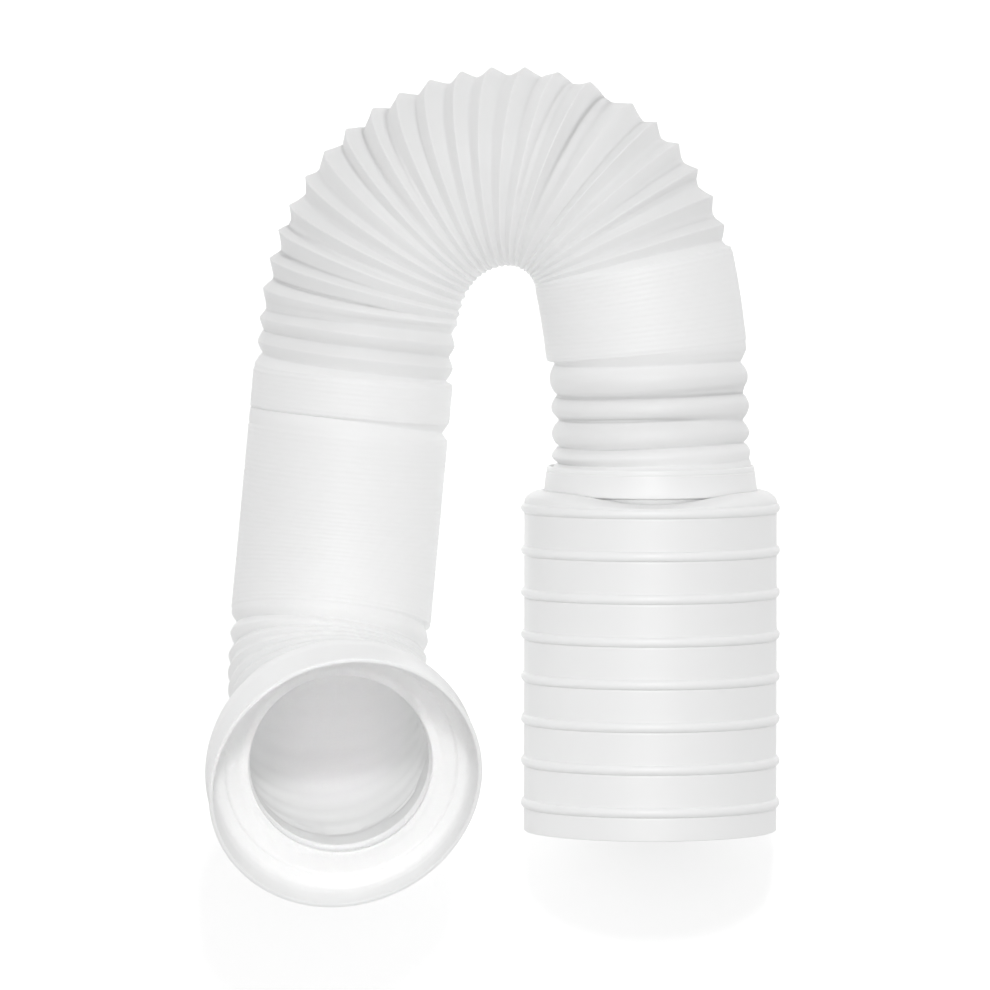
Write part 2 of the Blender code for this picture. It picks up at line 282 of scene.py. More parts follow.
def distance_at(turns):
    """How far along the hose a count of turns is, carried on past both ends."""
    past = np.maximum(turns - ALL_TURNS, 0.0) + np.minimum(turns, 0.0)
    return np.interp(turns, SPAN_TURNS, SPAN_ENDS) + past * FOLDS["flange stub"].pitch


def vectors_at(distance, columns):
    """Vectors of the middle line, read between its stations."""
    return np.stack([np.interp(distance, DISTANCE, column) for column in columns.T], axis=-1)


BLEND_REACH = 6.0 * MM


def blended(name, distance):
    """A value of the spans of folds, blended over the last and first few millimetres of each."""
    values = [getattr(span, name) for span in FOLDS.values()]
    middles = (SPAN_ENDS[1:] + SPAN_ENDS[:-1]) / 2
    reach = np.minimum(BLEND_REACH, SPAN_SIZES / 4)
    marks = np.stack([SPAN_ENDS[:-1] + reach, middles, SPAN_ENDS[1:] - reach], axis=1).ravel()
    return np.interp(distance, marks, np.repeat(values, 3))


def wander(seed, per_turn):
    """A smooth random curve along the spiral, from -1 to 1, that is the same at each run."""
    knots = np.random.default_rng(seed).uniform(-1.0, 1.0, int(ALL_TURNS * per_turn) + 8)

    def value(turns):
        place = np.clip((turns + 2.0) * per_turn, 0.0, len(knots) - 2.0)
        low = place.astype(int)
        return knots[low] + (knots[low + 1] - knots[low]) * smooth(place - low)

    return value


# %% [markdown]
# No two pleats of the real hose are alike: they were pulled open by hand. So each thing that
# varies, such as where the valley lies between two crests or whether a fold carries a second,
# fainter crease, follows its own slow random curve along the spiral. Because the curves run
# along the spiral, neighbouring folds differ while each fold changes smoothly. Just above the
# cuff the folds also lie a little aslant, since that side of the hose was pulled open further.

# %% Shape one fold
VALLEY_WANDER = 0.1
DEPTH_WANDER = 0.32
RIDGE_WANDER = 0.4
CREST_DRIFT = 0.8 * MM

# How a crest bends over: a round one, and a sharp one in a narrow and in a wide fold.
ROUND_CREST = 1.8
NARROW_HOLLOW = 1.05
WIDER_HOLLOW = 0.35
HOLLOW_WIDTH = 6.0 * MM
FLANK_SLOPE = 0.31
RIDGE_DEPTH = 0.17 * MM
LINING_RIPPLE = 0.12

# The faint second folds: how deep for a fold's width, how wide, how far off the middle, how many.
CREASE_SLOPE = 0.04
CREASE_HALF_WIDTH = 0.16
CREASE_WANDER = 0.26
CREASE_STRENGTH = 1.5

# Which way the valleys lean round the bend, and how aslant the folds lie above the cuff.
CREST_LEAN = 0.06
LEAN_FROM = np.array([0.205, 0.265, 0.325])
LEAN = np.array([-CREST_LEAN, 0.0, CREST_LEAN])
TILT_FROM = np.array([5.0, 30.0, 50.0, 91.0]) * MM
TILT = np.array([0.0, 0.07, 0.07, 0.0])

valley_wander = wander(11, 2.7)
depth_wander = wander(12, 1.9)
crest_drift = wander(13, 2.3)
creases = [(wander(seed, 1.2), wander(seed + 1, 1.7)) for seed in (14, 18, 20)]
ridge_wander = wander(16, 3.1)
print(f"unevenness: {len(creases)} kinds of crease, crests up to {CREST_DRIFT / MM:.1f} mm off")


def wave(phase, valley, hooked, hollow=1.0):
    """How deep the skin lies between two crests: 0 on a crest, 1 in the valley between them."""
    down = np.where(phase < valley, phase / valley, (1.0 - phase) / (1.0 - valley))
    round_crest = down**ROUND_CREST
    sharp_crest = 1.0 - (1.0 - down) ** hollow
    return round_crest + (sharp_crest - round_crest) * hooked


def crease(phase, place):
    """A narrow second fold line, 1 at its bottom and 0 where it ends."""
    near = np.clip(1.0 - np.abs(phase - place) / CREASE_HALF_WIDTH, 0.0, 1.0)
    return near * near * (2.0 - near)


# %% Measure how open a fold is
def opening(fold, angle):
    """How wide the fold that starts at this turn is, at this angle, and its openness from 0 to 1."""
    middle = distance_at(fold + 0.5)
    outward = np.cos(angle)[:, None] * vectors_at(middle, UPWARD)
    outward += np.sin(angle)[:, None] * vectors_at(middle, SIDEWAYS)
    stretch = 1.0 - CREST_RADIUS * np.einsum("ij,ij->i", outward, vectors_at(middle, BEND))
    pitch = (distance_at(fold + 1.0) - distance_at(fold)) * stretch
    return pitch, smooth((pitch - CLOSED_BELOW) / (OPEN_ABOVE - CLOSED_BELOW))


# %% Find the skin's place at any turn and angle
def hose_skin(turns, angle, inner):
    """Points of the outer or inner skin, how deep each lies in its fold, and how open that is."""
    phase = (turns + angle / math.tau) % 1.0
    fold = turns - phase
    (_, before), (pitch, here), (_, after) = (opening(fold + step, angle) for step in (-1.0, 0.0, 1.0))
    crest_openness = (1.0 - phase) * (before + here) / 2 + phase * (here + after) / 2
    distance = distance_at(turns)
    hooked = blended("hooked", distance)
    lean = np.interp(distance, LEAN_FROM, LEAN)
    valley = 0.5 + VALLEY_WANDER * valley_wander(fold) + lean * hooked
    hollow = NARROW_HOLLOW + WIDER_HOLLOW * smooth((pitch - OPEN_ABOVE) / HOLLOW_WIDTH)
    deep = wave(phase, valley, hooked, hollow)
    if inner:
        lining = 1.0 - (1.0 + np.cos(math.tau * phase)) / 2 * LINING_RIPPLE
        deep += (lining - deep) * blended("lined", distance)
    full = here + (np.minimum(1.0, FLANK_SLOPE * pitch / WAVE_DEPTH) - here) * hooked
    full = full * blended("fullness", distance)
    depth = WAVE_DEPTH * full * deep * (1.0 + DEPTH_WANDER * (depth_wander(fold) - 1.0) / 2)
    depth -= STACK_SWELL * (1.0 - crest_openness)
    if inner:
        stacked = (1.0 - crest_openness) * (1.0 - hooked)
        depth += HOSE_WALL + STACK_SWELL * (1.0 - crest_openness) + WAVE_DEPTH * STACK_FILL * stacked
    else:
        for strength, place in creases:
            mark = crease(phase, 0.5 + CREASE_WANDER * place(fold))
            mark = mark * np.clip(strength(fold) * CREASE_STRENGTH, 0.0, 1.0)
            depth += CREASE_SLOPE * pitch * here * mark
        shut = RIDGE_DEPTH * (1.0 + RIDGE_WANDER * ridge_wander(fold))
        depth += shut * (1.0 - here) * wave(phase, 0.5, 0.0)
    drift = (1.0 - phase) * crest_drift(fold) + phase * crest_drift(fold + 1.0)
    drift *= CREST_DRIFT * crest_openness
    drift += CREST_RADIUS * np.sin(angle) * np.interp(distance, TILT_FROM, TILT)
    outward = np.cos(angle)[:, None] * vectors_at(distance, UPWARD)
    outward += np.sin(angle)[:, None] * vectors_at(distance, SIDEWAYS)
    centre = vectors_at(distance + drift, CENTRE)
    return centre + outward * (CREST_RADIUS - depth)[:, None], deep, here


# %% [markdown]
# ## The hose as one closed mesh
# The rows of the mesh follow the spiral, so that every crest and every valley is a line of
# vertices and stays crisp with few faces. An open fold gets many rows and a shut one gets four.
# A displaced cylinder would need ten times the faces and its ridges would look like stairs.
# Each zone is cut off square where the next one begins, and both share that ring of vertices.

# %% Make the rows of the spiral
HOSE_SIDES = 72
OPEN_PHASES = [0.0, 0.04, 0.09, 0.15, 0.21, 0.27, 0.33, 0.39, 0.45]
OPEN_PHASES += [0.5, 0.55, 0.61, 0.67, 0.73, 0.79, 0.85, 0.91, 0.96]
SHUT_PHASES = [0.0, 0.28, 0.5, 0.72]
COARSE_OPEN_PHASES = [0.0, 0.25, 0.5, 0.75]
PLAIN_PHASES = [0.0]
print(f"rows in a turn: {len(OPEN_PHASES)} open, {len(SHUT_PHASES)} shut, each with {HOSE_SIDES} sides")


def zones(open_phases, shut_phases):
    """Spans of turns with the rows each gets. The ends that nothing shows get the fewest."""
    spans = []
    for (name, span), first, last in zip(FOLDS.items(), SPAN_TURNS, SPAN_TURNS[1:]):
        shut = span.pitch < CLOSED_BELOW
        hidden = name in ("inside the cuff", "flange stub")
        phases = PLAIN_PHASES if hidden else shut_phases if shut else open_phases
        if spans and spans[-1][2] is phases:
            spans[-1][1] = float(last)
        else:
            spans.append([float(first), float(last), phases])
    return spans


def spiral_rows(spans):
    """The side and turn of each vertex, and the faces between the rows."""
    places = {}
    faces = []
    for first, last, phases in spans:
        whole_turns = range(math.floor(first) - 1, math.ceil(last) + 1)
        bases = [whole + phase for whole in whole_turns for phase in phases]
        for low, high in zip(bases, bases[1:]):
            for side in range(HOSE_SIDES):
                corners = []
                for base, across in ((low, side), (low, side + 1), (high, side + 1), (high, side)):
                    turns = min(last, max(first, base + across / HOSE_SIDES))
                    key = (across % HOSE_SIDES, round(turns, 5))
                    index = places.setdefault(key, len(places))
                    if index not in corners:
                        corners.append(index)
                if len(corners) > 2:
                    faces.append(corners)
    sides, turns = np.array(list(places)).T
    return sides, turns, faces


# %% Build a mesh object
def mesh_object(name, points, faces, material, masks=None):
    """A smooth closed object that faces out, with any masks kept as attributes for its material."""
    mesh = bpy.data.meshes.new(name)
    mesh.from_pydata(points, [], faces)
    for mask, values in (masks or {}).items():
        mesh.attributes.new(mask, "FLOAT", "POINT").data.foreach_set("value", values.astype(np.float32))
    bm = bmesh.new()
    bm.from_mesh(mesh)
    bmesh.ops.recalc_face_normals(bm, faces=bm.faces)
    bm.to_mesh(mesh)
    bm.free()
    mesh.polygons.foreach_set("use_smooth", [True] * len(mesh.polygons))
    mesh.materials.append(material)
    obj = bpy.data.objects.new(name, mesh)
    bpy.context.collection.objects.link(obj)
    triangles = sum(len(polygon.vertices) - 2 for polygon in mesh.polygons)
    print(f"{name}: {triangles} triangles")
    return obj


# %% [markdown]
# ## White plastic
# The hose is blown from thin, slightly cloudy polypropylene, and the fittings are moulded from a
# smoother, glossier grade. Both are almost pure white, so what makes them look real is small:
# faint clouds in the colour, gloss that changes where hands have rubbed it, and a surface that
# isn't quite flat. Each of the three is a node group with named inputs, made once here and
# placed in both materials with its own values.

# %% Start a node group
def start_group(name, inputs, outputs):
    """An empty node group with these sockets: its tree, its input node and its output node."""
    tree = bpy.data.node_groups.new(name, "ShaderNodeTree")
    for socket, (kind, value) in inputs.items():
        tree.interface.new_socket(socket, in_out="INPUT", socket_type=kind).default_value = value
    for socket, kind in outputs.items():
        tree.interface.new_socket(socket, in_out="OUTPUT", socket_type=kind)
    return tree, tree.nodes.new("NodeGroupInput"), tree.nodes.new("NodeGroupOutput")


def noise_on_object(tree, scale_socket, detail):
    """Noise that is fixed to the object, with its scale from a socket."""
    place = tree.nodes.new("ShaderNodeTexCoord")
    noise = tree.nodes.new("ShaderNodeTexNoise")
    noise.inputs["Detail"].default_value = detail
    tree.links.new(place.outputs["Object"], noise.inputs["Vector"])
    tree.links.new(scale_socket, noise.inputs["Scale"])
    return noise


def spread(tree, source, low, high):
    """Maps the middle of a noise's range onto low to high, each of them a socket or a number."""
    mapped = tree.nodes.new("ShaderNodeMapRange")
    mapped.interpolation_type = "SMOOTHSTEP"
    mapped.inputs["From Min"].default_value = 0.2
    mapped.inputs["From Max"].default_value = 0.8
    tree.links.new(source, mapped.inputs["Value"])
    for socket, value in (("To Min", low), ("To Max", high)):
        if isinstance(value, float):
            mapped.inputs[socket].default_value = value
        else:
            tree.links.new(value, mapped.inputs[socket])
    return mapped.outputs["Result"]


# %% Group: clouded plastic colour with painted shade in the folds
def make_cloud_and_shade_group():
    """Two whites mixed by soft clouds, and a darker third colour painted as shade where the mask is 1.
    """
    tree, given, result = start_group(
        "clouds_and_fold_shade",
        {
            "Body Colour": ("NodeSocketColor", (0.8, 0.8, 0.8, 1.0)),
            "Cloud Colour": ("NodeSocketColor", (0.7, 0.7, 0.7, 1.0)),
            "Fold Shade Colour": ("NodeSocketColor", (0.6, 0.6, 0.6, 1.0)),
            "Fold Shade Mask": ("NodeSocketFloat", 0.0),
            "Scale": ("NodeSocketFloat", 20.0),
        },
        {"Colour": "NodeSocketColor"},
    )
    noise = noise_on_object(tree, given.outputs["Scale"], 1.5)
    cloud = spread(tree, noise.outputs["Fac"], 0.0, 1.0)
    mixed = tree.nodes.new("ShaderNodeMix")
    mixed.data_type = "RGBA"
    tree.links.new(cloud, mixed.inputs["Factor"])
    tree.links.new(given.outputs["Body Colour"], mixed.inputs["A"])
    tree.links.new(given.outputs["Cloud Colour"], mixed.inputs["B"])
    fold_shaded = tree.nodes.new("ShaderNodeMix")
    fold_shaded.data_type = "RGBA"
    tree.links.new(given.outputs["Fold Shade Mask"], fold_shaded.inputs["Factor"])
    tree.links.new(mixed.outputs["Result"], fold_shaded.inputs["A"])
    tree.links.new(given.outputs["Fold Shade Colour"], fold_shaded.inputs["B"])
    tree.links.new(fold_shaded.outputs["Result"], result.inputs["Colour"])
    return tree


# %% Group: rubbed gloss
def make_gloss_group():
    """Roughness that drifts between two values in broad patches and short fine ones."""
    tree, given, result = start_group(
        "rubbed_gloss",
        {
            "Glossy": ("NodeSocketFloat", 0.3),
            "Dull": ("NodeSocketFloat", 0.5),
            "Scale": ("NodeSocketFloat", 30.0),
        },
        {"Roughness": "NodeSocketFloat"},
    )
    noise = noise_on_object(tree, given.outputs["Scale"], 2.0)
    rough = spread(tree, noise.outputs["Fac"], given.outputs["Glossy"], given.outputs["Dull"])
    tree.links.new(rough, result.inputs["Roughness"])
    return tree


# %% Group: moulded relief
def make_relief_group():
    """A height in millimetres: shallow waves from the mould's cooling, and a fine grain on them."""
    tree, given, result = start_group(
        "moulded_relief",
        {
            "Wave Scale": ("NodeSocketFloat", 30.0),
            "Wave Height": ("NodeSocketFloat", 0.1),
            "Grain Scale": ("NodeSocketFloat", 900.0),
            "Grain Height": ("NodeSocketFloat", 0.01),
        },
        {"Height": "NodeSocketFloat"},
    )
    heights = []
    for name, detail in (("Wave", 2.0), ("Grain", 3.0)):
        noise = noise_on_object(tree, given.outputs[f"{name} Scale"], detail)
        height = tree.nodes.new("ShaderNodeMath")
        height.operation = "MULTIPLY"
        tree.links.new(noise.outputs["Fac"], height.inputs[0])
        tree.links.new(given.outputs[f"{name} Height"], height.inputs[1])
        heights.append(height.outputs["Value"])
    total = tree.nodes.new("ShaderNodeMath")
    tree.links.new(heights[0], total.inputs[0])
    tree.links.new(heights[1], total.inputs[1])
    tree.links.new(total.outputs["Value"], result.inputs["Height"])
    return tree


CLOUDS_AND_SHADE = make_cloud_and_shade_group()
RUBBED = make_gloss_group()
RELIEF = make_relief_group()
print("groups:", ", ".join(group.name for group in (CLOUDS_AND_SHADE, RUBBED, RELIEF)))


# %% Put the groups into a material
def white_plastic(name, colours, gloss, relief, fold_shade_mask=None):
    """A white plastic from the three groups, each with its own values."""
    material = bpy.data.materials.new(name)
    material.use_nodes = True
    tree = material.node_tree
    shader = tree.nodes["Principled BSDF"]
    placed = {}
    for group, values in ((CLOUDS_AND_SHADE, colours), (RUBBED, gloss), (RELIEF, relief)):
        node = tree.nodes.new("ShaderNodeGroup")
        node.node_tree = group
        for socket, value in values.items():
            node.inputs[socket].default_value = value
        placed[group.name] = node
    # Painted shade in the folds: the darker fold colour follows the mesh's fold_shade mask.
    if fold_shade_mask:
        mask = tree.nodes.new("ShaderNodeAttribute")
        mask.attribute_name = fold_shade_mask
        tree.links.new(mask.outputs["Fac"], placed["clouds_and_fold_shade"].inputs["Fold Shade Mask"])
    bump = tree.nodes.new("ShaderNodeBump")
    bump.inputs["Distance"].default_value = MM
    tree.links.new(placed["moulded_relief"].outputs["Height"], bump.inputs["Height"])
    tree.links.new(placed["clouds_and_fold_shade"].outputs["Colour"], shader.inputs["Base Color"])
    tree.links.new(placed["rubbed_gloss"].outputs["Roughness"], shader.inputs["Roughness"])
    tree.links.new(bump.outputs["Normal"], shader.inputs["Normal"])
    return material, shader


# %% Make the two plastics
hose_plastic, shader = white_plastic(
    "white_hose_plastic",
    {
        "Body Colour": (0.957, 0.958, 0.957, 1.0),
        "Cloud Colour": (0.946, 0.948, 0.947, 1.0),
        # The fold colour is painted shade for the valleys of the folds.
        "Fold Shade Colour": (0.925, 0.928, 0.928, 1.0),
        "Scale": 26.0,
    },
    {"Glossy": 0.46, "Dull": 0.58, "Scale": 45.0},
    {"Wave Scale": 60.0, "Wave Height": 0.08, "Grain Scale": 1400.0, "Grain Height": 0.006},
    fold_shade_mask="fold_shade",
)
shader.inputs["IOR"].default_value = 1.49
shader.inputs["Subsurface Weight"].default_value = 0.5
shader.inputs["Subsurface Radius"].default_value = (1.0, 1.0, 1.0)
shader.inputs["Subsurface Scale"].default_value = 3.0 * MM

fitting_plastic, shader = white_plastic(
    "white_fitting_plastic",
    {
        "Body Colour": (0.95, 0.951, 0.95, 1.0),
        "Cloud Colour": (0.943, 0.945, 0.944, 1.0),
        "Scale": 9.0,
    },
    {"Glossy": 0.36, "Dull": 0.44, "Scale": 18.0},
    {"Wave Scale": 16.0, "Wave Height": 0.06, "Grain Scale": 1100.0, "Grain Height": 0.004},
)
shader.inputs["IOR"].default_value = 1.49
shader.inputs["Subsurface Weight"].default_value = 0.4
shader.inputs["Subsurface Radius"].default_value = (1.0, 1.0, 1.0)
shader.inputs["Subsurface Scale"].default_value = 3.0 * MM
print("materials:", hose_plastic.name, fitting_plastic.name)

# %% [markdown]
# Now the hose itself: an outer skin with every ridge, and an inner skin with fewer rows, which
# shows only down the throat of the flange. The two are joined by a ring of faces at each end,
# so the hose is a closed shell with a real wall, as the moulded one is. The outer skin also
# carries a mask that is stronger in the valleys of the open folds, where it paints shade into
# the plastic's colour; the inner skin has none.

# %% Make the hose
# Painted shade in the fold valleys: its share in shut folds, and its overall strength.
SHUT_SHADE = 0.35
FOLD_SHADE = 0.5


def end_rings(sides, turns):
    """The vertices of the first ring and of the last, each in the order of their sides."""
    return [
        [np.flatnonzero((sides == side) & (turns == end))[0] for side in range(HOSE_SIDES)]
        for end in (turns.min(), turns.max())
    ]


def make_hose():
    skins = []
    for inner, open_phases, shut_phases in (
        (False, OPEN_PHASES, SHUT_PHASES),
        (True, COARSE_OPEN_PHASES, PLAIN_PHASES),
    ):
        sides, turns, faces = spiral_rows(zones(open_phases, shut_phases))
        points, deep, openness = hose_skin(turns, -math.tau * sides / HOSE_SIDES, inner)
        shade = FOLD_SHADE * deep * (SHUT_SHADE + (1.0 - SHUT_SHADE) * openness) ** 2
        skins.append((points, faces, shade, end_rings(sides, turns)))
    (outer, faces, outer_shade, outer_rings), (inner, inner_faces, inner_shade, inner_rings) = skins
    offset = len(outer)
    faces += [[index + offset for index in face] for face in inner_faces]
    for outer_ring, inner_ring in zip(outer_rings, inner_rings):
        for side in range(HOSE_SIDES):
            after = (side + 1) % HOSE_SIDES
            outer_edge = [outer_ring[side], outer_ring[after]]
            faces.append(outer_edge + [inner_ring[after] + offset, inner_ring[side] + offset])
    # The painted fold shade goes on the outer skin only.
    masks = {"fold_shade": np.concatenate([outer_shade, 0.0 * inner_shade])}
    return mesh_object("spiral_hose", np.concatenate([outer, inner]), faces, hose_plastic, masks)


hose = make_hose()

# %% [markdown]
# ## The turned fittings
# The cuff, the collar and the flange are all round mouldings, so each is a section turned about
# an axis. Their sections have rounded corners, because a mould can't make a sharp one and it
# is the small highlight along each rounded edge that tells the eye that this is plastic. A
# corner is written as its radius from the axis, its height and how much it is rounded.

# %% Round the corners of a section
LONG_EDGE = 4.0 * MM
FLAT_SUPPORT = 0.15 * MM


def rounded_section(corners, steps=5):
    """A closed section's corners as points, each replaced by a curve as long as its rounding.

    A long edge also gets a point just off the curve, which keeps its shading flat.
    """
    points = []
    places = [np.array(corner[:2]) for corner in corners]
    for number, (*_, rounding) in enumerate(corners):
        here = places[number]
        before = places[number - 1] - here
        after = places[(number + 1) % len(places)] - here
        back = min(rounding, 0.45 * np.linalg.norm(before))
        on = min(rounding, 0.45 * np.linalg.norm(after))
        if rounding == 0.0:
            points.append(tuple(here))
            continue
        start = here + before / np.linalg.norm(before) * back
        end = here + after / np.linalg.norm(after) * on
        if np.linalg.norm(before) > LONG_EDGE:
            points.append(tuple(start + before / np.linalg.norm(before) * FLAT_SUPPORT))
        for share in np.linspace(0.0, 1.0, steps):
            curve = start * (1.0 - share) ** 2 + here * 2.0 * share * (1.0 - share) + end * share**2
            points.append(tuple(curve))
        if np.linalg.norm(after) > LONG_EDGE:
            points.append(tuple(end + after / np.linalg.norm(after) * FLAT_SUPPORT))
    return points


# %% Turn a section into a ring
RING_SIDES = 192


class Axis(NamedTuple):
    """Where a fitting is turned: a point, the way its angles start, a quarter turn on, its axis."""

    middle: np.ndarray
    top: np.ndarray
    side: np.ndarray
    along: np.ndarray


def turned_ring(name, section, axis, material, warp):
    """A ring from a closed section of (radius, height) points, bent by warp at each angle."""
    section = np.array(section)
    angle = math.tau * np.arange(RING_SIDES) / RING_SIDES
    angles, radius = np.meshgrid(angle, section[:, 0])
    _, height = np.meshgrid(angle, section[:, 1])
    radius, height = warp(angles, radius, height)
    points = axis.middle + radius[..., None] * (
        np.cos(angles)[..., None] * axis.top + np.sin(angles)[..., None] * axis.side
    )
    points = (points + height[..., None] * axis.along).reshape(-1, 3)
    faces = []
    for row in range(len(section)):
        after_row = (row + 1) % len(section)
        for side in range(RING_SIDES):
            after = (side + 1) % RING_SIDES
            corners = (row, side), (row, after), (after_row, after), (after_row, side)
            faces.append([ring * RING_SIDES + column for ring, column in corners])
    return mesh_object(name, points, faces, material)


LEG_AXIS = Axis(
    np.array(ROUTE_START) + np.array((0.0, 0.0, COLLAR_AXIS_HEIGHT)),
    np.array((0.0, 0.0, 1.0)),
    np.array((1.0, 0.0, 0.0)),
    np.array((0.0, 1.0, 0.0)),
)

# %% [markdown]
# ### The ribbed collar
# A plain sleeve, 184.5 mm long, with eight half-round beads that stiffen it and a rounded
# shoulder that narrows it to the cuff. At the middle of its top the mouth dips, so a grey
# crescent shows below the cuff. Each bead is followed by a hair-thin groove, which gives the
# fine dark line under it.

# %% Make the collar
COLLAR_LENGTH = 184.5 * MM
COLLAR_WALL = 2.2 * MM
RIB_COUNT = 8
RIB_WIDTH = 5.0 * MM
RIB_SPACING = 22.8 * MM
FIRST_RIB = 9.6 * MM
SHOULDER_HEIGHT = 6.5 * MM
SHOULDER_DIP = 5.2 * MM
DIP_HALF_ANGLE = math.radians(56.0)
BEAD_FULLNESS = 1.2
GROOVE_DEPTH = 0.3 * MM
OUT_OF_ROUND = 0.15 * MM


def shoulder(inset, steps=12):
    """The rounded shoulder from the mouth out to the collar's side, or a wall further in."""
    angles = np.linspace(0.0, math.pi / 2, steps)
    out = MOUTH_RADIUS + (COLLAR_RADIUS - MOUTH_RADIUS - inset) * np.sin(angles)
    down = -(SHOULDER_HEIGHT - inset) * (1.0 - np.cos(angles)) - inset
    return list(zip(out, down))


def bead(middle, steps=13):
    """A half-round bead with a soft foot above it and a thin groove below."""
    foot = min(0.74 * RIB_WIDTH - middle, -SHOULDER_HEIGHT - 0.05 * MM)
    points = [(COLLAR_RADIUS, foot), (COLLAR_RADIUS, 0.6 * RIB_WIDTH - middle)]
    for angle in np.linspace(0.0, math.pi, steps):
        lift = RIB_HEIGHT * math.sin(angle) ** BEAD_FULLNESS
        points.append((COLLAR_RADIUS + lift, RIB_WIDTH / 2 * math.cos(angle) - middle))
    points.append((COLLAR_RADIUS - GROOVE_DEPTH, -0.56 * RIB_WIDTH - middle))
    points.append((COLLAR_RADIUS, -0.66 * RIB_WIDTH - middle))
    points.append((COLLAR_RADIUS, -0.78 * RIB_WIDTH - middle))
    return points


def collar_warp(angle, radius, height):
    """Dips the mouth at the top, and lets the sleeve be a little out of round, but only inward."""
    off_top = np.abs((angle + math.pi) % math.tau - math.pi)
    around = smooth(1.0 - off_top / DIP_HALF_ANGLE)
    along = smooth(1.0 + height / (SHOULDER_HEIGHT + COLLAR_WALL))
    uneven = OUT_OF_ROUND * np.sin(1.5 * angle + 0.6 + 7.0 * height) ** 2 * np.sin(angle / 2) ** 2
    return radius - uneven * smooth(-height / (20.0 * MM)), height - SHOULDER_DIP * around * along


def make_collar():
    """The section runs down the outside, round the foot and up the inside.

    The foot's last corner only gives its first one an edge to start from.
    """
    section = shoulder(0.0)
    for number in range(RIB_COUNT):
        section += bead(FIRST_RIB + number * RIB_SPACING)
    foot = [
        (COLLAR_RADIUS, -COLLAR_LENGTH, 0.7 * MM),
        (COLLAR_RADIUS - COLLAR_WALL, -COLLAR_LENGTH, 0.7 * MM),
        (COLLAR_RADIUS - COLLAR_WALL, -SHOULDER_HEIGHT, 0.0),
        (COLLAR_RADIUS, -COLLAR_LENGTH + 8.0 * MM, 0.0),
    ]
    section += rounded_section(foot)[:-1]
    section += reversed(shoulder(COLLAR_WALL))
    return turned_ring("ribbed_sleeve", section, LEG_AXIS, fitting_plastic, collar_warp)


collar = make_collar()

# %% [markdown]
# ### The cuff
# A short smooth sleeve, wider at its foot, that holds the hose's end. Its skirt ends just inside
# the collar's mouth. Below the skirt it steps in a little, which makes the thin dark line along
# the crescent.

# %% Make the cuff
CUFF_TOP_RADIUS = FITTING_BORE + 1.5 * MM
CUFF_FOOT_RADIUS = FITTING_BORE + CUFF_SKIRT
CUFF_NECK_RADIUS = FITTING_BORE + 1.1 * MM


def unwarped(angle, radius, height):
    return radius, height


def make_cuff():
    corners = [
        (FITTING_BORE, CUFF_SHOWN - 0.3 * MM, 0.2 * MM),
        (FITTING_BORE + 0.4 * MM, CUFF_SHOWN, 0.3 * MM),
        (CUFF_TOP_RADIUS - 0.1 * MM, CUFF_SHOWN - 0.6 * MM, 1.5 * MM),
        (CUFF_TOP_RADIUS + 0.15 * MM, CUFF_SHOWN - 2.6 * MM, 0.2 * MM),
        (CUFF_TOP_RADIUS - 0.05 * MM, CUFF_SHOWN - 3.1 * MM, 0.2 * MM),
        (CUFF_TOP_RADIUS + 0.3 * MM, CUFF_SHOWN - 3.6 * MM, 0.3 * MM),
        (CUFF_FOOT_RADIUS, 0.0, 0.5 * MM),
        (CUFF_FOOT_RADIUS, -2.0 * MM, 0.5 * MM),
        (CUFF_NECK_RADIUS, -2.6 * MM, 0.3 * MM),
        (CUFF_NECK_RADIUS, -HIDDEN_END, 0.2 * MM),
        (FITTING_BORE, -HIDDEN_END, 0.2 * MM),
    ]
    return turned_ring("hose_cuff_ring", rounded_section(corners), LEG_AXIS, fitting_plastic, unwarped)


cuff = make_cuff()

# %% [markdown]
# ### The flange
# A wide cup that faces up: a lip round the throat, a sloping floor with one faint step, and a
# short upright wall. It is thin enough to be squashed slightly out of round, and its rim
# slants a little, so the warp below does both, more and more towards the rim.

# %% Make the flange
THROAT = FITTING_BORE - 5.9 * MM
STEP = FITTING_BORE + 8.3 * MM
RIM = STEP + 10.0 * MM
RIM_THICKNESS = 2.4 * MM
BAND = RIM - 0.8 * MM
CUP_DEPTH = 35.0 * MM
STEP_HEIGHT = 9.0 * MM
SLEEVE_LENGTH = 17.0 * MM
FLANGE_WALL = 2.2 * MM
RIM_SLANT = math.tan(math.radians(8.0))
RIM_SQUASH = 1.6 * MM
SQUASH_ANGLE = math.radians(125.0)
THROAT_TILT = math.tan(math.radians(4.0))

FLANGE_AXIS = Axis(
    CENTRE[-1] + np.array(line_end) * (FIT_GAP + FLANGE_WALL),
    UPWARD[-1],
    SIDEWAYS[-1],
    np.array(line_end),
)


def flange_warp(angle, radius, height):
    """Slants the rim, squashes it out of round and lifts the lip on the side away from the top."""
    share = smooth(height / CUP_DEPTH)
    pressed = radius + share * RIM_SQUASH * np.cos(2.0 * (angle - SQUASH_ANGLE))
    near_lip = smooth((STEP - radius) / (STEP - THROAT)) * (height > -1.5 * FLANGE_WALL)
    lifted = height + THROAT_TILT * radius * (1.0 - np.cos(angle)) * near_lip
    return pressed, lifted + RIM_SLANT * pressed * np.cos(angle) * share


